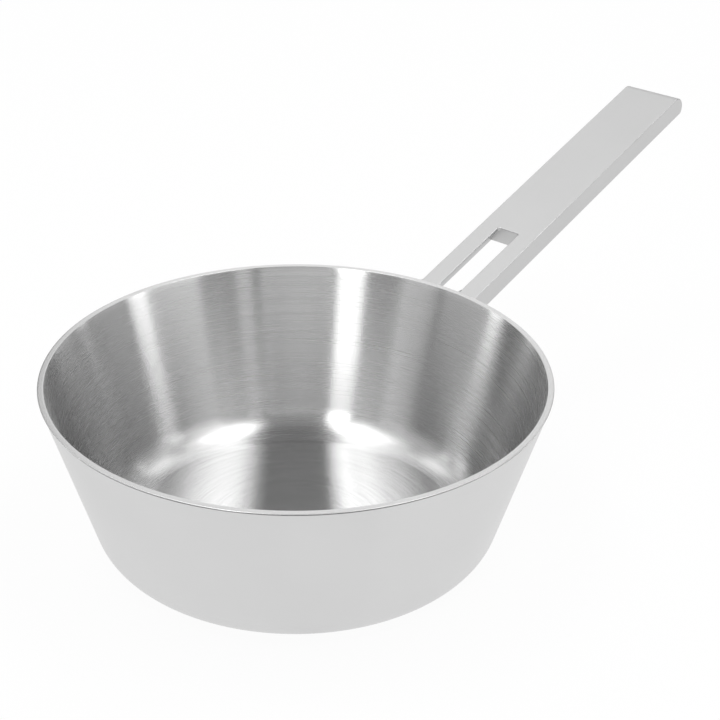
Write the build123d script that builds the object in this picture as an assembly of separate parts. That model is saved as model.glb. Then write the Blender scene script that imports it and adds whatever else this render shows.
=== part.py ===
"""Conical saucier pan with a welded fork handle.

Millimetres, +Z up. The origin is the centre of the base's flat underside,
and the handle points along +X. The body is a stack of seven plies that
share one outline, each a fixed depth further in from the outside of the
pan. The handle is a hollow bar whose two legs are welded to the wall.
"""
from build123d import *
import math
import os

# Body, outside sizes
RIM_DIAMETER = 246.5
BODY_HEIGHT = 88.4
WALL_ANGLE = 16.8
BASE_FILLET = 20.0
LIP_HEIGHT = 4.0
LIP_RADIUS = 24.0
RIM_ROUND = 0.45
RIM_INNER_ROUND = 0.3

# Plies, from the cooking surface outwards
LINING = 0.4
INNER_BOND = 0.25
CORE = 1.1
OUTER_BOND = 0.25
CARRIER_STEEL = 0.2
MAGNETIC_STEEL = 0.3
SKIN = 0.3
# The lining's edge is folded over the other plies and back on itself
HEM_LAYERS = 2

# Handle: the bar as a whole
HANDLE_TILT = 15.1
HANDLE_BELOW_RIM = 0.7
HANDLE_LENGTH = 206.4
HANDLE_WIDTH = 34.9
HANDLE_THICKNESS = 12.5
TOP_ARRIS = 0.6
LOWER_ROUND = 2.4

# Handle: the fork and the hollow grip
SLOT_WIDTH = 13.4
SLOT_REACH = 56.8
SLOT_CORNER = 1.5
TOP_PLATE = 1.7
SKIRT = 3.0
WEB = 3.0
GRIP_POCKET_CORNER = 1.5
UNDERSIDE_PLATE = 1.6
# The skirts stand this far below the web and the underside plate
UNDERSIDE_RECESS = 2.0

# Welds between the legs and the wall
WELD_RADIUS = 4.0
# The hollow face sinks this far into what it meets, so the weld ends in an edge
WELD_TOE = 0.1

# Cuts and blanks run this far past the faces that they meet
OVERRUN = 5.0

RIM_RADIUS = RIM_DIAMETER / 2
WALL = LINING + INNER_BOND + CORE + OUTER_BOND + CARRIER_STEEL + MAGNETIC_STEEL + SKIN
HEM = HEM_LAYERS * LINING
LEAN = math.radians(WALL_ANGLE)
TILT = math.radians(HANDLE_TILT)

# Where the straight wall meets the lip's curl and the base's fillet
LIP_START = BODY_HEIGHT - LIP_HEIGHT
LIP_END_LEAN = math.asin(math.sin(LEAN) + LIP_HEIGHT / LIP_RADIUS)
LIP_START_RADIUS = RIM_RADIUS - LIP_RADIUS * (math.cos(LEAN) - math.cos(LIP_END_LEAN))
LIP_CENTRE = (
    LIP_START_RADIUS + LIP_RADIUS * math.cos(LEAN),
    LIP_START - LIP_RADIUS * math.sin(LEAN),
)
FILLET_CENTRE = (
    LIP_START_RADIUS - (LIP_START - BASE_FILLET) * math.tan(LEAN) - BASE_FILLET / math.cos(LEAN),
    BASE_FILLET,
)


def fillet_point(depth, angle):
    """Point of the base fillet, at a depth in from the outside."""
    reach = BASE_FILLET - depth
    return (FILLET_CENTRE[0] + reach * math.cos(angle), FILLET_CENTRE[1] + reach * math.sin(angle))


def lip_point(depth, lean):
    """Point of the lip's curl, where the wall leans by this angle."""
    reach = LIP_RADIUS + depth
    return (LIP_CENTRE[0] - reach * math.cos(lean), LIP_CENTRE[1] + reach * math.sin(lean))


def lip_lean(depth, height):
    """Lean of the curl at a height, at a depth in from the outside."""
    return math.asin((height - LIP_CENTRE[1]) / (LIP_RADIUS + depth))


def outline(depth, top):
    """Edges of the body's outline at a depth, from the axis up to a height."""
    base_end = fillet_point(depth, -math.pi / 2)
    fillet_middle = fillet_point(depth, -(math.pi / 2 + LEAN) / 2)
    fillet_end = fillet_point(depth, -LEAN)
    end_lean = lip_lean(depth, top)
    lip_start = lip_point(depth, LEAN)
    lip_middle = lip_point(depth, (LEAN + end_lean) / 2)
    lip_end = lip_point(depth, end_lean)
    edges = [
        Line((0, depth), base_end),
        ThreePointArc(base_end, fillet_middle, fillet_end),
        Line(fillet_end, lip_start),
        ThreePointArc(lip_start, lip_middle, lip_end),
    ]
    return edges, lip_end


def upright(edges):
    """Face of edges drawn as (radius, height), stood up in the XZ plane."""
    return Plane.XZ * make_face(edges)


def ply(outer_depth, inner_depth, top):
    """One layer of the body between two depths, cut off flat at the top."""
    outer, outer_end = outline(outer_depth, top)
    inner, inner_end = outline(inner_depth, top)
    closing = [Line(outer_end, inner_end), Line((0, outer_depth), (0, inner_depth))]
    return revolve(upright(outer + inner + closing), Axis.Z)


def lining():
    """Cooking surface, with its edge folded out over the other plies."""
    hem_bottom = BODY_HEIGHT - HEM
    outer, outer_end = outline(WALL - LINING, hem_bottom)
    inner, inner_end = outline(WALL, BODY_HEIGHT)
    hem_foot = lip_point(0, lip_lean(0, hem_bottom))
    hem_middle = lip_point(0, lip_lean(0, BODY_HEIGHT - HEM / 2))
    hem_top = lip_point(0, LIP_END_LEAN)
    closing = [
        Line(outer_end, hem_foot),
        ThreePointArc(hem_foot, hem_middle, hem_top),
        Line(hem_top, inner_end),
        Line((0, WALL - LINING), (0, WALL)),
    ]
    section = make_face(outer + inner + closing)
    section = fillet(section.vertices().group_by(Axis.Y)[-1].sort_by(Axis.X)[-1], RIM_ROUND)
    section = fillet(section.vertices().group_by(Axis.Y)[-1].sort_by(Axis.X)[0], RIM_INNER_ROUND)
    return revolve(Plane.XZ * section, Axis.Z)


def solid_body():
    """The body's outside as one filled solid, to trim what meets the wall."""
    edges, end = outline(0, BODY_HEIGHT)
    closing = [Line(end, (0, BODY_HEIGHT)), Line((0, BODY_HEIGHT), (0, 0))]
    return revolve(upright(edges + closing), Axis.Z)


# The handle is drawn flat, from the rim's radius outwards along +X with its
# top face at zero height, and then tilted up into place
HANDLE_PLACE = Plane(
    origin=(RIM_RADIUS, 0, BODY_HEIGHT - HANDLE_BELOW_RIM),
    x_dir=(math.cos(TILT), 0, math.sin(TILT)),
    z_dir=(-math.sin(TILT), 0, math.cos(TILT)),
)
NOSE = HANDLE_THICKNESS / 2
LEG_ROOT = -(HANDLE_THICKNESS + OVERRUN)
POCKET_WIDTH = HANDLE_WIDTH - 2 * SKIRT
GRIP_START = SLOT_REACH + WEB
GRIP_BOTTOM = UNDERSIDE_RECESS - HANDLE_THICKNESS


def block(start, end, width, top, bottom):
    """Box along the bar, centred across it, between two heights."""
    size = (end - start, width, top - bottom)
    return Pos(start, 0, bottom) * Box(*size, align=(Align.MIN, Align.CENTER, Align.MIN))


def bar_blank():
    """Bar with a round nose, fine arrises and soft lower edges, before the fork is cut."""
    flat = block(LEG_ROOT, HANDLE_LENGTH, HANDLE_WIDTH, 0, -HANDLE_THICKNESS)
    nose = Pos(HANDLE_LENGTH, 0, -NOSE) * Rot(90, 0, 0) * Cylinder(NOSE, HANDLE_WIDTH)
    bar = flat + nose
    bar = fillet(bar.edges().filter_by(Axis.X) + bar.edges().filter_by(GeomType.CIRCLE), TOP_ARRIS)
    section = Rectangle(HANDLE_WIDTH, HANDLE_THICKNESS, align=(Align.CENTER, Align.MAX))
    section = fillet(section.vertices().group_by(Axis.Y)[0], LOWER_ROUND)
    envelope = extrude(Plane(origin=(LEG_ROOT, 0, 0), x_dir=(0, 1, 0), z_dir=(1, 0, 0)) * section,
                       HANDLE_LENGTH + HANDLE_THICKNESS - LEG_ROOT)
    return bar & envelope


def fork_slot():
    """Slot between the legs, open at the wall."""
    cut = block(LEG_ROOT - OVERRUN, SLOT_REACH, SLOT_WIDTH, OVERRUN, -HANDLE_THICKNESS - OVERRUN)
    corners = cut.edges().filter_by(Axis.Z).group_by(Axis.X)[-1]
    return fillet(corners, SLOT_CORNER)


def grip_pocket(top, bottom):
    """Room between the skirts of the grip, from one height down to another."""
    pocket = block(GRIP_START, HANDLE_LENGTH, POCKET_WIDTH, top, bottom)
    return fillet(pocket.edges().filter_by(Axis.Z), GRIP_POCKET_CORNER)


def handle_shell():
    """Top plate, skirts, nose, web and legs of the handle in one piece."""
    bar = bar_blank() - fork_slot()
    top_edges = bar.faces().sort_by(Axis.Z)[-1].edges()
    slot_sides = top_edges.filter_by(Axis.X).sort_by(lambda edge: abs(edge.center().Y))[:2]
    slot_end = top_edges.filter_by(Axis.Y).sort_by(lambda edge: abs(edge.center().X - SLOT_REACH))[0]
    bar = fillet(slot_sides + top_edges.filter_by(GeomType.CIRCLE) + [slot_end], TOP_ARRIS)
    under_fork = block(LEG_ROOT - OVERRUN, SLOT_REACH, POCKET_WIDTH,
                       -TOP_PLATE, -HANDLE_THICKNESS - OVERRUN)
    under_web = block(SLOT_REACH, GRIP_START + GRIP_POCKET_CORNER, POCKET_WIDTH,
                      GRIP_BOTTOM, -HANDLE_THICKNESS - OVERRUN)
    hollow = grip_pocket(-TOP_PLATE, -HANDLE_THICKNESS - OVERRUN)
    return HANDLE_PLACE * (bar - under_fork - under_web - hollow) - solid_body()


def underside_plate():
    """Cover that closes the hollow grip from below, level with the web's lower edge."""
    return HANDLE_PLACE * grip_pocket(GRIP_BOTTOM + UNDERSIDE_PLATE, GRIP_BOTTOM)


def weld_axis_point(height, across):
    """Centre of a weld's hollow face at a height, this far off the mid-plane.

    It lies out from the wall's cone by the weld's radius less its toe.
    """
    wall_radius = LIP_START_RADIUS - (LIP_START - height) * math.tan(LEAN)
    centre_radius = wall_radius + (WELD_RADIUS - WELD_TOE) / math.cos(LEAN)
    return Vector(math.sqrt(centre_radius**2 - across**2), across, height)


def corner_weld(face, side, bottom):
    """Hollow weld in the corner of the wall and an upright face of a leg.

    The face lies this far off the handle's mid-plane, the weld lies on its
    +Y side where side is 1, and it runs from the top face down to bottom.
    """
    across = face + side * (WELD_RADIUS - WELD_TOE)
    upper = weld_axis_point(HANDLE_PLACE.origin.Z + OVERRUN, across)
    lower = weld_axis_point(HANDLE_PLACE.origin.Z - HANDLE_THICKNESS - OVERRUN, across)
    along = (upper - lower).normalized()
    frame = Plane(origin=lower, x_dir=(along.Z, 0, -along.X), z_dir=along)
    reach = WELD_RADIUS + OVERRUN
    leg_side = WELD_RADIUS - WELD_TOE
    corner = Pos(-reach / 2, -side * leg_side / 2) * Rectangle(reach, leg_side)
    bead = extrude(frame * (corner - Circle(WELD_RADIUS)), (upper - lower).length)
    slab = block(LEG_ROOT, SLOT_REACH, HANDLE_WIDTH * 2, 0, bottom)
    return bead & (HANDLE_PLACE * slab) - solid_body()


def leg_weld(side):
    """Welds of one leg: outside the skirt, and in the slot at the top plate."""
    outside = corner_weld(side * HANDLE_WIDTH / 2, side, LOWER_ROUND - HANDLE_THICKNESS)
    in_slot = corner_weld(side * SLOT_WIDTH / 2, -side, -TOP_PLATE)
    return outside + in_slot


if __name__ == "__main__":
    os.makedirs("parts", exist_ok=True)
    depth = 0
    for name, thickness in (("outer_skin", SKIN), ("magnetic_steel_ply", MAGNETIC_STEEL),
                            ("carrier_steel_ply", CARRIER_STEEL), ("outer_bond_ply", OUTER_BOND),
                            ("aluminium_core", CORE), ("inner_bond_ply", INNER_BOND)):
        export_step(ply(depth, depth + thickness, BODY_HEIGHT - HEM), f"parts/{name}.step")
        depth += thickness
    export_step(lining(), "parts/cooking_surface_lining.step")
    export_step(handle_shell(), "parts/handle_shell.step")
    export_step(underside_plate(), "parts/handle_underside_plate.step")
    # As the cook sees them along the handle, the left leg is the -Y one
    export_step(leg_weld(-1), "parts/left_leg_weld.step")
    export_step(leg_weld(1), "parts/right_leg_weld.step")
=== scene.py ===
"""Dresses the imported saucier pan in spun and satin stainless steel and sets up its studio.

Lengths are metres and +Z is up. The origin is the centre of the base's flat underside, and the
handle points along +X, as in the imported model.
"""

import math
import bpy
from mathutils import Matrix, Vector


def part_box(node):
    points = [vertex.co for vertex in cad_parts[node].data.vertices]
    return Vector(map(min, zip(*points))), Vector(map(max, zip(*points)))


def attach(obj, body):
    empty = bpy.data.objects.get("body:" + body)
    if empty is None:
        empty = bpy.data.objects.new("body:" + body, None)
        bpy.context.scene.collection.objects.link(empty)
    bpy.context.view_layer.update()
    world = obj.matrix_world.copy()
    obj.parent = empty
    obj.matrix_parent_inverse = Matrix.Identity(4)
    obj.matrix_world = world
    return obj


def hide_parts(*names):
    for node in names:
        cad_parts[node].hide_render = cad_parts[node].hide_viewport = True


bl_info = {
    "name": "Saucier Pan",
    "version": (1, 0, 0),
    "blender": (4, 5, 0),
    "location": "View3D > Sidebar > Saucier Pan",
    "description": "A conical saucier pan of clad steel, and the studio that shows it",
    "category": "Object",
}

import bpy
from mathutils import Matrix, Vector

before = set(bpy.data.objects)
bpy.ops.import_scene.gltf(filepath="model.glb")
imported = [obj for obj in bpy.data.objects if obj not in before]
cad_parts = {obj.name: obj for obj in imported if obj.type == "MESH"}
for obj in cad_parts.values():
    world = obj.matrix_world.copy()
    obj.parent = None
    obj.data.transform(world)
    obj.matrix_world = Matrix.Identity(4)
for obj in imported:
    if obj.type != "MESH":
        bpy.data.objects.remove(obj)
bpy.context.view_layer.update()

BODY = "root"
MILLIMETRE = 0.001
RIM_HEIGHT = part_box("cooking_surface_lining")[1].z

# Straight steps that each stretch of the bowl's outline is divided into
FLOOR_STEPS = 24
FILLET_STEPS = 28
WALL_STEPS = 24
LIP_STEPS = 10
OUTER_ROUND_STEPS = 8
FLAT_STEPS = 4
INNER_ROUND_STEPS = 6

# The bowl's sections are swept round a ring of this radius
RING_RADIUS = 0.1
# Points nearer than this are merged, to close a swept shell
MERGE_DISTANCE = 0.002 * MILLIMETRE
# Edges that turn further than this stay sharp
CREASE_ANGLE = math.radians(25)
# The normal of a level face rises by more than this
LEVEL_NORMAL = 0.9999
# The normal of the hem's underside falls by more than this
UNDERSIDE_NORMAL = -0.9

# Noise lies mostly between these values
NOISE_LOW = 0.3
NOISE_HIGH = 0.7
# Share by which a scratch changes the roughness of spun steel
SCRATCH_ROUGHNESS = 0.08
# Turns a highlight so that it spreads across the rings
ACROSS_RINGS = 0.25
# The colour of satin steel drifts by this share, over patches of this size
MOTTLE = 0.02
MOTTLE_SIZE = 40 * MILLIMETRE
# Amount by which the grain of satin steel changes its roughness
GRAIN_ROUGHNESS = 0.02

SENSOR_WIDTH = 36.0
# Half the width of the floor, which ends far behind the pan
FLOOR_REACH = 30.0
# Share of plain white in the floor as it is seen: the rest keeps the pan's shadow
FLOOR_WHITE = 0.93


# Sizes and colours that a user would change


class BowlSizes(bpy.types.PropertyGroup):
    """Outline of the bowl, as in the part's source but for the rim's outer round and seam"""

    rim_radius: bpy.props.FloatProperty(
        name="Rim Radius", description="Radius of the lip's outer corner before it is rounded",
        default=0.12325, unit="LENGTH")
    height: bpy.props.FloatProperty(
        name="Height", description="Height of the rim's flat top above the base",
        default=RIM_HEIGHT, unit="LENGTH")
    lean: bpy.props.FloatProperty(
        name="Wall Lean", description="Angle between the straight wall and the axis",
        default=math.radians(16.8), unit="ROTATION")
    base_fillet: bpy.props.FloatProperty(
        name="Base Fillet", description="Outside radius between the base and the wall",
        default=0.020, unit="LENGTH")
    lip_height: bpy.props.FloatProperty(
        name="Lip Height", description="Height of the part of the wall that curls outwards",
        default=0.004, unit="LENGTH")
    lip_radius: bpy.props.FloatProperty(
        name="Lip Radius", description="Radius of the lip's outward curl",
        default=0.024, unit="LENGTH")
    rim_round: bpy.props.FloatProperty(
        name="Outer Rim Round", description="Round on the rim's outer edge",
        default=0.00025, unit="LENGTH")
    rim_inner_round: bpy.props.FloatProperty(
        name="Inner Rim Round", description="Round on the rim's inner edge",
        default=0.0003, unit="LENGTH")
    wall: bpy.props.FloatProperty(
        name="Wall", description="Thickness of all the plies together",
        default=0.0028, unit="LENGTH")
    lining: bpy.props.FloatProperty(
        name="Lining", description="Thickness of the cooking surface",
        default=0.0004, unit="LENGTH")
    hem: bpy.props.FloatProperty(
        name="Hem", description="Height of the lining's edge, folded over the other plies",
        default=0.00035, unit="LENGTH")
    skin: bpy.props.FloatProperty(
        name="Skin", description="Thickness of the outer skin",
        default=0.0003, unit="LENGTH")
    seam: bpy.props.FloatProperty(
        name="Seam", description="Chamfer on each side of the seam under the hem",
        default=0.00006, unit="LENGTH")
    seam_gap: bpy.props.FloatProperty(
        name="Seam Gap", description="Height of the open seam under the hem, which looks dark",
        default=0.0005, unit="LENGTH")
    segments: bpy.props.IntProperty(
        name="Segments", description="Faces around the bowl", default=360, min=24)


class FinishColours(bpy.types.PropertyGroup):
    """Colours of the metals"""

    spun: bpy.props.StringProperty(
        name="Spun Steel", description="Colour of the brushed cooking surface", default="#D3D3D3")
    satin: bpy.props.StringProperty(
        name="Satin Steel", description="Colour of the outside, the rim and the welds",
        default="#D9D9D9")
    handle: bpy.props.StringProperty(
        name="Handle Steel", description="Colour of the handle", default="#C9C9C9")
    aluminium: bpy.props.StringProperty(
        name="Aluminium", description="Colour of the rolled aluminium plies", default="#D6D8DA")
    magnetic: bpy.props.StringProperty(
        name="Magnetic Steel", description="Colour of the steel plies in the wall",
        default="#5E5E5E")


class StudioSettings(bpy.types.PropertyGroup):
    """Camera, floor and lamps"""

    azimuth: bpy.props.FloatProperty(
        name="Azimuth", description="Turn of the camera round the pan, from the -Y side",
        default=math.radians(-51.89), unit="ROTATION")
    elevation: bpy.props.FloatProperty(
        name="Elevation", description="Angle of the camera above the horizon",
        default=math.radians(28.249), unit="ROTATION")
    roll: bpy.props.FloatProperty(
        name="Roll", description="Turn of the camera about its own axis",
        default=math.radians(0.919), unit="ROTATION")
    distance: bpy.props.FloatProperty(
        name="Distance", description="From the camera to the point that it aims at",
        default=0.8633, unit="LENGTH")
    aim: bpy.props.FloatVectorProperty(
        name="Aim", description="Point in the middle of the frame",
        default=(0.02123, -0.02169, 0.09457), subtype="XYZ", unit="LENGTH")
    lens: bpy.props.FloatProperty(
        name="Lens", description="Focal length on a 36 mm sensor", default=90.0,
        subtype="DISTANCE_CAMERA")
    room_light: bpy.props.FloatProperty(
        name="Room Light", description="Brightness of the room around the pan", default=0.2)
    lamp_distance: bpy.props.FloatProperty(
        name="Lamp Distance", description="From the pan to the lamps", default=2.0, unit="LENGTH")
    floor_colour: bpy.props.StringProperty(
        name="Floor", description="Colour of the floor", default="#F4F4F4")


# Small tools


def linear(hex_colour):
    """An sRGB hex colour as a linear one."""
    values = [int(hex_colour[i:i + 2], 16) / 255 for i in (1, 3, 5)]
    return [v / 12.92 if v <= 0.04045 else ((v + 0.055) / 1.055) ** 2.4 for v in values] + [1.0]


def add_node(tree, kind, inputs=None, **settings):
    """Adds a node, with its settings, and its inputs set to values or linked to other outputs."""
    node = tree.nodes.new(kind)
    for name, value in settings.items():
        setattr(node, name, value)
    for key, value in (inputs or {}).items():
        if isinstance(value, bpy.types.NodeSocket):
            tree.links.new(value, node.inputs[key])
        else:
            node.inputs[key].default_value = value
    return node


def new_material(name):
    """An empty material and its node tree."""
    material = bpy.data.materials.new(name)
    material.use_nodes = True
    material.node_tree.nodes.clear()
    return material, material.node_tree


def dress(obj, *materials):
    """Puts materials on an object in place of those that it has."""
    obj.data.materials.clear()
    for material in materials:
        obj.data.materials.append(material)


# Metals


def spun_steel(name, colour, roughness, stretch, pitch, contrast):
    """18/10 stainless steel, brushed on a lathe: fine rings round the axis.

    The rings spread a highlight across themselves by the stretch, so lamps
    show as long streaks that run up the wall, and single rings show as thin
    lines. The real ones are finer than the pitch, which is as coarse as it
    needs to be to show.
    """
    material, tree = new_material(name)
    place = add_node(tree, "ShaderNodeTexCoord").outputs["Object"]
    level = add_node(tree, "ShaderNodeVectorMath", {0: place, 1: (1, 1, 0)}, operation="MULTIPLY")
    radius = add_node(tree, "ShaderNodeVectorMath", {0: level.outputs["Vector"]},
                      operation="LENGTH")
    around = add_node(tree, "ShaderNodeVectorMath", {0: level.outputs["Vector"]},
                      operation="NORMALIZE")
    height = add_node(tree, "ShaderNodeSeparateXYZ", {"Vector": place}).outputs["Z"]
    along = add_node(tree, "ShaderNodeMath", {0: radius.outputs["Value"], 1: height},
                     operation="ADD")
    rings = add_node(tree, "ShaderNodeMath", {0: along.outputs["Value"], 1: 1 / pitch},
                     operation="MULTIPLY")
    # Round the axis a scratch is about a sixth of a turn long, and across it one pitch wide
    turn = add_node(tree, "ShaderNodeSeparateXYZ", {"Vector": around.outputs["Vector"]})
    scratch_place = add_node(tree, "ShaderNodeCombineXYZ", {
        "X": turn.outputs["X"], "Y": turn.outputs["Y"], "Z": rings.outputs["Value"]})
    scratches = add_node(tree, "ShaderNodeTexNoise", {
        "Vector": scratch_place.outputs["Vector"], "Scale": 1.0, "Detail": 2.0, "Roughness": 0.6})
    tint = add_node(tree, "ShaderNodeMapRange", {
        "Value": scratches.outputs["Fac"], "From Min": NOISE_LOW, "From Max": NOISE_HIGH,
        "To Min": 1 - contrast, "To Max": 1 + contrast})
    base = add_node(tree, "ShaderNodeMix", {
        "Factor": 1.0, "A": linear(colour), "B": tint.outputs["Result"]},
        data_type="RGBA", blend_type="MULTIPLY")
    rough = add_node(tree, "ShaderNodeMapRange", {
        "Value": scratches.outputs["Fac"], "From Min": NOISE_LOW, "From Max": NOISE_HIGH,
        "To Min": roughness * (1 + SCRATCH_ROUGHNESS),
        "To Max": roughness * (1 - SCRATCH_ROUGHNESS)})
    bump = add_node(tree, "ShaderNodeBump", {
        "Height": scratches.outputs["Fac"], "Strength": 0.08, "Distance": 0.01 * MILLIMETRE})
    tangent = add_node(tree, "ShaderNodeTangent", direction_type="RADIAL", axis="Z")
    shader = add_node(tree, "ShaderNodeBsdfPrincipled", {
        "Base Color": base.outputs[2], "Metallic": 1.0, "Roughness": rough.outputs["Result"],
        "Anisotropic": stretch, "Anisotropic Rotation": ACROSS_RINGS,
        "Normal": bump.outputs["Normal"], "Tangent": tangent.outputs["Tangent"]})
    add_node(tree, "ShaderNodeOutputMaterial", {"Surface": shader.outputs["BSDF"]})
    return material


def satin_steel(name, colour, roughness, grain):
    """Stainless steel with an even satin finish, blasted and then pickled.

    It is pale and soft, without streaks, with a grain that only just shows.
    """
    material, tree = new_material(name)
    place = add_node(tree, "ShaderNodeTexCoord").outputs["Object"]
    mottle = add_node(tree, "ShaderNodeTexNoise", {
        "Vector": place, "Scale": 1 / MOTTLE_SIZE, "Detail": 2.0})
    pits = add_node(tree, "ShaderNodeTexNoise", {
        "Vector": place, "Scale": 1 / grain, "Detail": 2.0})
    tint = add_node(tree, "ShaderNodeMapRange", {
        "Value": mottle.outputs["Fac"], "From Min": NOISE_LOW, "From Max": NOISE_HIGH,
        "To Min": 1 - MOTTLE, "To Max": 1.0})
    base = add_node(tree, "ShaderNodeMix", {
        "Factor": 1.0, "A": linear(colour), "B": tint.outputs["Result"]},
        data_type="RGBA", blend_type="MULTIPLY")
    rough = add_node(tree, "ShaderNodeMapRange", {
        "Value": pits.outputs["Fac"], "From Min": NOISE_LOW, "From Max": NOISE_HIGH,
        "To Min": roughness - GRAIN_ROUGHNESS, "To Max": roughness + GRAIN_ROUGHNESS})
    bump = add_node(tree, "ShaderNodeBump", {
        "Height": pits.outputs["Fac"], "Strength": 0.1, "Distance": 0.005 * MILLIMETRE})
    shader = add_node(tree, "ShaderNodeBsdfPrincipled", {
        "Base Color": base.outputs[2], "Metallic": 1.0, "Roughness": rough.outputs["Result"],
        "Normal": bump.outputs["Normal"]})
    add_node(tree, "ShaderNodeOutputMaterial", {"Surface": shader.outputs["BSDF"]})
    return material


# Bowl


def arc(centre, radius, start, end, steps):
    """Points of an arc from one angle to another, both ends included."""
    angles = [start + (end - start) * i / steps for i in range(steps + 1)]
    return [(centre[0] + radius * math.cos(a), centre[1] + radius * math.sin(a)) for a in angles]


def run(start, end, steps):
    """Points of a straight line, both ends included."""
    return [tuple(a + (b - a) * i / steps for a, b in zip(start, end)) for i in range(steps + 1)]


def bowl_outline(sizes, depth, top):
    """Points (radius, height) of the bowl's outline at a depth in from the outside.

    It runs from the axis along the base and up the wall to a height.
    """
    lip_start = sizes.height - sizes.lip_height
    rim_lean = math.asin(math.sin(sizes.lean) + sizes.lip_height / sizes.lip_radius)
    lip_start_radius = sizes.rim_radius - sizes.lip_radius * (
        math.cos(sizes.lean) - math.cos(rim_lean))
    lip_centre = (lip_start_radius + sizes.lip_radius * math.cos(sizes.lean),
                  lip_start - sizes.lip_radius * math.sin(sizes.lean))
    fillet_centre = (
        lip_start_radius - (lip_start - sizes.base_fillet) * math.tan(sizes.lean)
        - sizes.base_fillet / math.cos(sizes.lean),
        sizes.base_fillet)
    lip_reach = sizes.lip_radius + depth
    end_lean = math.asin((top - lip_centre[1]) / lip_reach)
    fillet = arc(fillet_centre, sizes.base_fillet - depth, -math.pi / 2, -sizes.lean, FILLET_STEPS)
    lip = arc(lip_centre, lip_reach, math.pi - sizes.lean, math.pi - end_lean, LIP_STEPS)
    floor = run((0, depth), fillet[0], FLOOR_STEPS)
    wall = run(fillet[-1], lip[0], WALL_STEPS)
    return floor[:-1] + fillet + wall[1:-1] + lip, lip_centre


def rim_round(sizes, lip_centre, reach, radius, side, steps):
    """Round between the rim's flat top and one face of the lip.

    The face lies this reach from the lip's centre, and side is 1 where the
    metal is further out than the face, and -1 where it is nearer.
    """
    centre_height = sizes.height - radius
    centre_reach = reach + side * radius
    rise = centre_height - lip_centre[1]
    centre = (lip_centre[0] - math.sqrt(centre_reach**2 - rise**2), centre_height)
    towards = math.atan2(lip_centre[1] - centre_height, lip_centre[0] - centre[0])
    start = towards if side > 0 else towards + math.pi
    return arc(centre, radius, start, math.pi / 2, steps)


def lining_section(sizes):
    """Cooking surface, with its edge folded out over the other plies."""
    hem_foot = sizes.height - sizes.hem
    under, lip_centre = bowl_outline(sizes, sizes.wall - sizes.lining, hem_foot)
    inside, _ = bowl_outline(sizes, sizes.wall, sizes.height)
    outer_round = rim_round(sizes, lip_centre, sizes.lip_radius, sizes.rim_round, 1,
                            OUTER_ROUND_STEPS)
    inner_round = rim_round(sizes, lip_centre, sizes.lip_radius + sizes.wall,
                            sizes.rim_inner_round, -1, INNER_ROUND_STEPS)
    inside = [p for p in inside if p[1] < inner_round[0][1]]
    # Lower corner of the hem, with a small chamfer at the seam
    lean = math.asin((hem_foot + sizes.seam - lip_centre[1]) / sizes.lip_radius)
    chamfer_top = (lip_centre[0] - sizes.lip_radius * math.cos(lean), hem_foot + sizes.seam)
    hem = [(chamfer_top[0] - sizes.seam, hem_foot), chamfer_top]
    flat = run(outer_round[-1], inner_round[-1], FLAT_STEPS)
    return under + hem + outer_round + flat[1:-1] + inner_round[::-1] + inside[::-1]


def skin_section(sizes):
    """Outer skin, cut off flat below the seam, with a small chamfer there."""
    top = sizes.height - sizes.hem - sizes.seam_gap
    outside, _ = bowl_outline(sizes, 0, top - sizes.seam)
    inside, _ = bowl_outline(sizes, sizes.skin, top)
    chamfer = (outside[-1][0] - sizes.seam, top)
    return outside + [chamfer] + inside[::-1]


def spin_tree():
    """Geometry Nodes that spin a section round the axis into a closed shell."""
    tree = bpy.data.node_groups.new("Spun Shell", "GeometryNodeTree")
    face = tree.interface
    face.new_socket("Section", in_out="INPUT", socket_type="NodeSocketGeometry")
    face.new_socket("Segments", in_out="INPUT", socket_type="NodeSocketInt")
    face.new_socket("Crease Angle", in_out="INPUT", socket_type="NodeSocketFloat")
    face.new_socket("Metal", in_out="INPUT", socket_type="NodeSocketMaterial")
    face.new_socket("Shell", in_out="OUTPUT", socket_type="NodeSocketGeometry")
    given = add_node(tree, "NodeGroupInput").outputs
    # The section is drawn this far out, so that it hangs from a ring of the same radius
    ring = add_node(tree, "GeometryNodeCurvePrimitiveCircle", {
        "Resolution": given["Segments"], "Radius": RING_RADIUS})
    upright = add_node(tree, "GeometryNodeSetCurveNormal", {"Curve": ring.outputs["Curve"]},
                       mode="Z_UP")
    section = add_node(tree, "GeometryNodeMeshToCurve", {"Mesh": given["Section"]})
    swept = add_node(tree, "GeometryNodeCurveToMesh", {
        "Curve": upright.outputs["Curve"], "Profile Curve": section.outputs["Curve"]})
    closed = add_node(tree, "GeometryNodeMergeByDistance", {
        "Geometry": swept.outputs["Mesh"], "Distance": MERGE_DISTANCE})
    angle = add_node(tree, "GeometryNodeInputMeshEdgeAngle")
    sharp = add_node(tree, "FunctionNodeCompare", {
        0: angle.outputs["Unsigned Angle"], 1: given["Crease Angle"]}, operation="GREATER_THAN")
    soft = add_node(tree, "FunctionNodeBooleanMath", {0: sharp.outputs["Result"]}, operation="NOT")
    smooth = add_node(tree, "GeometryNodeSetShadeSmooth", {
        "Geometry": closed.outputs["Geometry"], "Shade Smooth": soft.outputs["Boolean"]},
        domain="EDGE")
    # The sweep leaves the faces pointing inwards
    outward = add_node(tree, "GeometryNodeFlipFaces", {"Mesh": smooth.outputs["Geometry"]})
    real = add_node(tree, "GeometryNodeRealizeInstances", {"Geometry": outward.outputs["Mesh"]})
    painted = add_node(tree, "GeometryNodeSetMaterial", {
        "Geometry": real.outputs["Geometry"], "Material": given["Metal"]})
    add_node(tree, "NodeGroupOutput", {"Shell": painted.outputs["Geometry"]})
    return tree


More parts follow.
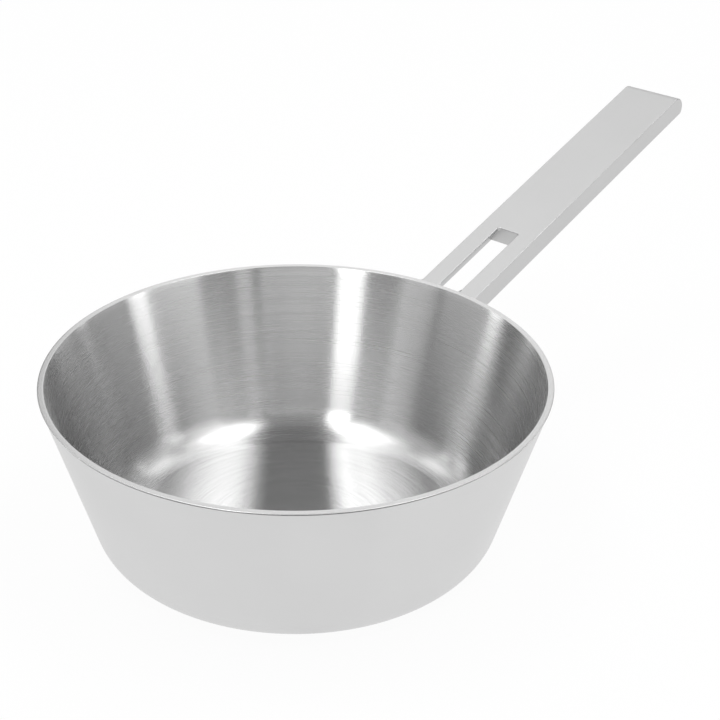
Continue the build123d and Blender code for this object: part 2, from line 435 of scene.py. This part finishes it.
def spin(name, section, sizes, tree, metal):
    """A closed shell of revolution as a plain mesh."""
    mesh = bpy.data.meshes.new(name)
    # The ring's frame points its second axis down, so heights are drawn negative
    points = [(radius - RING_RADIUS, -height, 0) for radius, height in section]
    mesh.from_pydata(points, [(i, i + 1) for i in range(len(points) - 1)], [])
    obj = bpy.data.objects.new(name, mesh)
    bpy.context.scene.collection.objects.link(obj)
    modifier = obj.modifiers.new("Spun Shell", "NODES")
    modifier.node_group = tree
    sockets = {item.name: item.identifier for item in tree.interface.items_tree}
    modifier[sockets["Segments"]] = sizes.segments
    modifier[sockets["Crease Angle"]] = CREASE_ANGLE
    modifier[sockets["Metal"]] = metal
    depsgraph = bpy.context.evaluated_depsgraph_get()
    shell = bpy.data.meshes.new_from_object(obj.evaluated_get(depsgraph))
    obj.modifiers.clear()
    obj.data = shell
    shell.name = name
    return obj


def metal_of_lining(face, sizes):
    """Which of its metals a face of the lining shows: 0 for the wall, 1 the rim, 2 the floor."""
    middle = face.center
    if face.normal.z > LEVEL_NORMAL and middle.z < sizes.base_fillet:
        return 2
    radius = math.hypot(middle.x, middle.y)
    beyond_inside = radius > sizes.rim_radius - sizes.wall - sizes.rim_round
    above_foot = middle.z > sizes.height - sizes.hem and face.normal.z > UNDERSIDE_NORMAL
    return 1 if beyond_inside and above_foot else 0


class SAUCIER_OT_bowl(bpy.types.Operator):
    """Spin the cooking surface and the outer skin"""

    bl_idname = "saucier.bowl"
    bl_label = "Bowl"

    def execute(self, context):
        sizes = context.scene.saucier_bowl
        colours = context.scene.saucier_finish
        tree = spin_tree()
        wall = spun_steel("stainless_steel_spun_wall", colours.spun, roughness=0.26, stretch=1.0,
                          pitch=0.45 * MILLIMETRE, contrast=0.04)
        # The floor is polished after brushing, so it shows the wall as a dull mirror does
        floor = spun_steel("stainless_steel_spun_floor", colours.spun, roughness=0.14, stretch=0.0,
                           pitch=0.8 * MILLIMETRE, contrast=0.09)
        satin = satin_steel("stainless_steel_satin_outside", colours.satin, roughness=0.45,
                            grain=0.5 * MILLIMETRE)
        # The rim is ground flat, which leaves it brighter than the satin below it
        rim = satin_steel("stainless_steel_ground_rim", colours.satin, roughness=0.26,
                          grain=0.5 * MILLIMETRE)
        lining = spin("cooking_surface", lining_section(sizes), sizes, tree, wall)
        lining.data.materials.append(rim)
        lining.data.materials.append(floor)
        for face in lining.data.polygons:
            face.material_index = metal_of_lining(face, sizes)
        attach(lining, BODY)
        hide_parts("cooking_surface_lining")
        skin = spin("outer_shell", skin_section(sizes), sizes, tree, satin)
        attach(skin, BODY)
        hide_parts("outer_skin")
        return {"FINISHED"}


class SAUCIER_OT_handle(bpy.types.Operator):
    """Give the handle and its welds their satin finish"""

    bl_idname = "saucier.handle"
    bl_label = "Handle"

    def execute(self, context):
        colours = context.scene.saucier_finish
        satin = satin_steel("stainless_steel_satin_handle", colours.handle, roughness=0.4,
                            grain=0.4 * MILLIMETRE)
        # The welds are ground by hand and then blasted, so they are paler and duller
        bead = satin_steel("stainless_steel_ground_weld", colours.satin, roughness=0.5,
                           grain=0.8 * MILLIMETRE)
        for name in ("handle_shell", "handle_underside_plate"):
            dress(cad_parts[name], satin)
        for name in ("left_leg_weld", "right_leg_weld"):
            dress(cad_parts[name], bead)
        return {"FINISHED"}


class SAUCIER_OT_inner_plies(bpy.types.Operator):
    """Give the plies inside the wall their rolled finish"""

    bl_idname = "saucier.inner_plies"
    bl_label = "Inner Plies"

    def execute(self, context):
        colours = context.scene.saucier_finish
        # Rolled sheet that was never polished: pale grey aluminium, and darker ferritic steel
        aluminium = satin_steel("aluminium_rolled", colours.aluminium, roughness=0.35,
                                grain=0.3 * MILLIMETRE)
        steel = satin_steel("ferritic_steel_rolled", colours.magnetic, roughness=0.55,
                            grain=0.3 * MILLIMETRE)
        for name in ("inner_bond_ply", "aluminium_core", "outer_bond_ply"):
            dress(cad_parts[name], aluminium)
        for name in ("carrier_steel_ply", "magnetic_steel_ply"):
            dress(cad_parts[name], steel)
        return {"FINISHED"}


# Studio


def white_for_background(tree, shaded, amount):
    """Mixes in this share of plain white where the camera, gloss or glass looks at a shader."""
    path = add_node(tree, "ShaderNodeLightPath").outputs
    seen = add_node(tree, "ShaderNodeMath", {
        0: path["Is Camera Ray"], 1: path["Is Glossy Ray"]}, operation="MAXIMUM")
    seen = add_node(tree, "ShaderNodeMath", {
        0: seen.outputs["Value"], 1: path["Is Transmission Ray"]}, operation="MAXIMUM")
    share = add_node(tree, "ShaderNodeMath", {0: seen.outputs["Value"], 1: amount},
                     operation="MULTIPLY")
    white = add_node(tree, "ShaderNodeEmission", {"Color": (1, 1, 1, 1), "Strength": 1.0})
    return add_node(tree, "ShaderNodeMixShader", {
        "Fac": share.outputs["Value"], 1: shaded, 2: white.outputs["Emission"]}).outputs["Shader"]


def towards(azimuth, elevation):
    """A direction, with azimuths measured from the -Y side."""
    level = math.cos(elevation)
    return Vector((math.sin(azimuth) * level, -math.cos(azimuth) * level, math.sin(elevation)))


def camera_matrix(studio):
    """Where the camera stands and how it is turned."""
    back = towards(studio.azimuth, studio.elevation)
    turn = back.to_track_quat("Z", "Y").to_matrix() @ Matrix.Rotation(studio.roll, 3, "Z")
    place = Vector(studio.aim) + back * studio.distance
    return Matrix.Translation(place) @ turn.to_4x4()


# Panels that stand round the pan: where each begins and ends as the pan sees it, in degrees
# of azimuth from the camera (right is positive) and of elevation, and its brightness
PANELS = {
    "key_strip": (-31.5, -18, 10, 50, 3.7),
    "front_fill": (-14.5, 20, 0, 32, 0.72),
    "front_strip": (24, 32, 0, 32, 0.65),
    "right_front_panel": (50, 76, 0, 32, 0.82),
    "right_high_panel": (51, 84, 32, 52, 0.75),
    "right_strip": (77.5, 88, -2, 32, 2.3),
    "right_side_fill": (91, 113, 0, 30, 0.42),
    "right_faint_strip": (116, 122, -2, 32, 1.9),
    "right_rear_panel": (127, 140, 0, 32, 0.5),
    "right_side_high_panel": (93, 106, 32, 52, 0.8),
    "right_rear_high_panel": (106, 168, 32, 52, 0.35),
    "left_front_panel": (-69, -50, 0, 32, 0.58),
    "left_side_fill": (-96, -72, 0, 32, 0.52),
    "left_strip": (-108, -100, -2, 32, 2.2),
    "left_high_panel": (-130, -64, 32, 52, 0.4),
    "left_rear_panel": (-136, -127, 0, 32, 1.0),
    "left_rear_high_panel": (-165, -130, 32, 52, 0.6),
    "back_high_panel": (-192, -165, 32, 52, 0.72),
    "back_fill": (163, 195, 0, 32, 0.86),
}
# Softboxes that hang level overhead: their left, right, far and near edges as shares of their
# height above the pan, and their brightness
SOFTBOXES = {
    "left_softbox": (-0.47, -0.22, -0.01, 0.34, 4.0),
    "left_softbox_rear": (-0.47, -0.19, -0.28, -0.01, 3.9),
    "left_softbox_wing": (-0.70, -0.47, -0.28, 0.34, 2.0),
    "left_softbox_front": (-0.70, -0.22, 0.34, 0.60, 2.0),
    "right_softbox": (0.26, 0.47, -0.01, 0.34, 4.1),
    "right_softbox_rear": (0.21, 0.47, -0.28, -0.01, 3.8),
    "right_softbox_wing": (0.47, 0.70, -0.28, 0.34, 2.6),
    "right_softbox_front": (0.26, 0.70, 0.34, 0.60, 1.7),
    "rear_softbox": (-0.80, 0.80, -0.85, -0.45, 1.3),
    "front_softbox": (-0.21, 0.25, 0.34, 0.75, 0.28),
}


def add_lamp(name, place, facing, size, brightness):
    """A flat lamp, turned by a matrix, that a mirror shows as plain white at a brightness of 1."""
    light = bpy.data.lights.new(name, "AREA")
    light.shape = "RECTANGLE"
    light.size, light.size_y = size
    light.energy = brightness * math.pi * light.size * light.size_y
    lamp = bpy.data.objects.new(name, light)
    lamp.matrix_world = Matrix.Translation(place) @ facing
    lamp.visible_camera = False
    bpy.context.scene.collection.objects.link(lamp)


def add_lamps(studio):
    """Stands the panels and hangs the softboxes round the pan."""
    reach = studio.lamp_distance
    middle = Vector((0, 0, studio.aim[2]))
    for name, (left, right, low, high, brightness) in PANELS.items():
        half = math.radians(right - left) / 2
        azimuth = studio.azimuth + math.radians(left + right) / 2
        bottom, top = (reach * math.tan(math.radians(edge)) for edge in (low, high))
        outwards = towards(azimuth, 0)
        place = middle + outwards * reach + Vector((0, 0, (bottom + top) / 2))
        add_lamp(name, place, outwards.to_track_quat("Z", "Y").to_matrix().to_4x4(),
                 (2 * reach * math.tan(half), top - bottom), brightness)
    heading = Matrix.Rotation(studio.azimuth, 4, "Z")
    for name, (left, right, far, near, brightness) in SOFTBOXES.items():
        across, along = (left + right) / 2, (far + near) / 2
        place = middle + heading @ Vector((across, -along, 1)) * reach
        add_lamp(name, place, heading, ((right - left) * reach, (near - far) * reach), brightness)


class SAUCIER_OT_stage(bpy.types.Operator):
    """Lay the floor, set the lamps and place the camera"""

    bl_idname = "saucier.stage"
    bl_label = "Stage"

    def execute(self, context):
        scene = context.scene
        studio = scene.saucier_studio
        camera = bpy.data.objects.new("camera", bpy.data.cameras.new("camera"))
        camera.data.sensor_width = SENSOR_WIDTH
        camera.data.lens = studio.lens
        camera.matrix_world = camera_matrix(studio)
        scene.collection.objects.link(camera)
        scene.camera = camera
        scene.view_settings.view_transform = "Standard"

        add_lamps(studio)
        corners = [(x * FLOOR_REACH, y * FLOOR_REACH, 0)
                   for x, y in ((-1, -1), (1, -1), (1, 1), (-1, 1))]
        mesh = bpy.data.meshes.new("floor")
        mesh.from_pydata(corners, [], [range(len(corners))])
        floor = bpy.data.objects.new("floor", mesh)
        scene.collection.objects.link(floor)
        material, tree = new_material("floor_painted_pale")
        paint = add_node(tree, "ShaderNodeBsdfPrincipled", {
            "Base Color": linear(studio.floor_colour), "Roughness": 0.9})
        shown = white_for_background(tree, paint.outputs["BSDF"], FLOOR_WHITE)
        add_node(tree, "ShaderNodeOutputMaterial", {"Surface": shown})
        dress(floor, material)

        world = scene.world or bpy.data.worlds.new("room")
        scene.world = world
        world.use_nodes = True
        world.node_tree.nodes.clear()
        air = add_node(world.node_tree, "ShaderNodeBackground", {
            "Color": (1, 1, 1, 1), "Strength": studio.room_light})
        add_node(world.node_tree, "ShaderNodeOutputWorld", {"Surface": air.outputs["Background"]})
        return {"FINISHED"}


class SAUCIER_PT_panel(bpy.types.Panel):
    """Lists the pieces and their settings"""

    bl_idname = "SAUCIER_PT_panel"
    bl_label = "Saucier Pan"
    bl_space_type = "VIEW_3D"
    bl_region_type = "UI"
    bl_category = "Saucier Pan"

    def draw(self, context):
        for operator in OPERATORS:
            self.layout.operator(operator.bl_idname)
        for name, group in SETTINGS.items():
            box = self.layout.box()
            for key in group.__annotations__:
                box.prop(getattr(context.scene, name), key)


SETTINGS = {
    "saucier_bowl": BowlSizes,
    "saucier_finish": FinishColours,
    "saucier_studio": StudioSettings,
}
OPERATORS = (SAUCIER_OT_stage, SAUCIER_OT_bowl, SAUCIER_OT_handle, SAUCIER_OT_inner_plies)


def register():
    for group in SETTINGS.values():
        bpy.utils.register_class(group)
    for name, group in SETTINGS.items():
        setattr(bpy.types.Scene, name, bpy.props.PointerProperty(type=group))
    for operator in OPERATORS:
        bpy.utils.register_class(operator)
    bpy.utils.register_class(SAUCIER_PT_panel)


def unregister():
    bpy.utils.unregister_class(SAUCIER_PT_panel)
    for operator in reversed(OPERATORS):
        bpy.utils.unregister_class(operator)
    for name, group in SETTINGS.items():
        delattr(bpy.types.Scene, name)
        bpy.utils.unregister_class(group)


def main():
    register()
    bpy.ops.saucier.stage()
    bpy.ops.saucier.bowl()
    bpy.ops.saucier.handle()
    bpy.ops.saucier.inner_plies()


if __name__ == "__main__":
    main()
